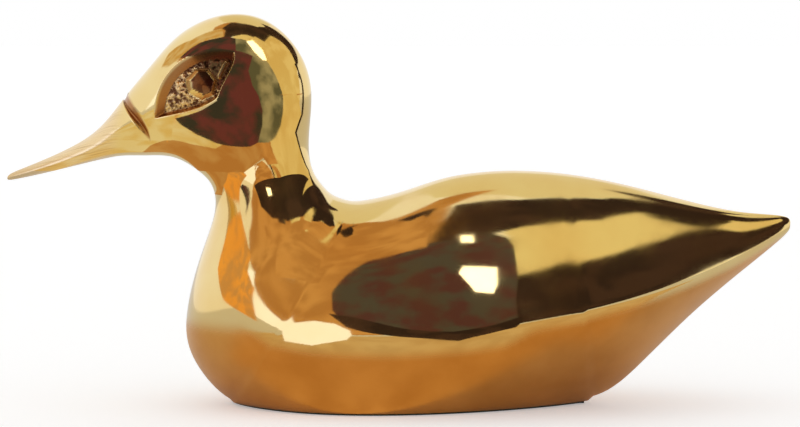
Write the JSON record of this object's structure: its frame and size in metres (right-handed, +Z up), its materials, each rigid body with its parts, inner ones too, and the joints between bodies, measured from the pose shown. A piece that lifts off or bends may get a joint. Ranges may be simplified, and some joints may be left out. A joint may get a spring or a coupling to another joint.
{
  "type": "duck figurine",
  "caption": "Polished brass duck ornament with a hollow two-part body, a solid brazed-on head with carved eyes, and a felt base pad.",
  "frame": {"origin": "on the table, in the middle of the duck's length and width, at the underside of the felt", "axes": "+Z up, +X from the bill towards the tail, +Y to the duck's right; the pictured side faces -Y"},
  "size_m": [0.2003, 0.0652, 0.0999],
  "materials": {
    "body_brass": "hand polished above the chine, satin below it",
    "head_brass": "hand polished, with a file-marked bill and darkened carving",
    "braze": "dressed flush and polished at the neck, rough inside",
    "felt": "matt felt"
  },
  "bodies": {
    "root": {"left_shell": "body_brass", "right_shell": "body_brass", "head": "head_brass", "seam_braze": "braze", "neck_braze": "braze", "felt_pad": "felt"}
  },
  "joints": []
}
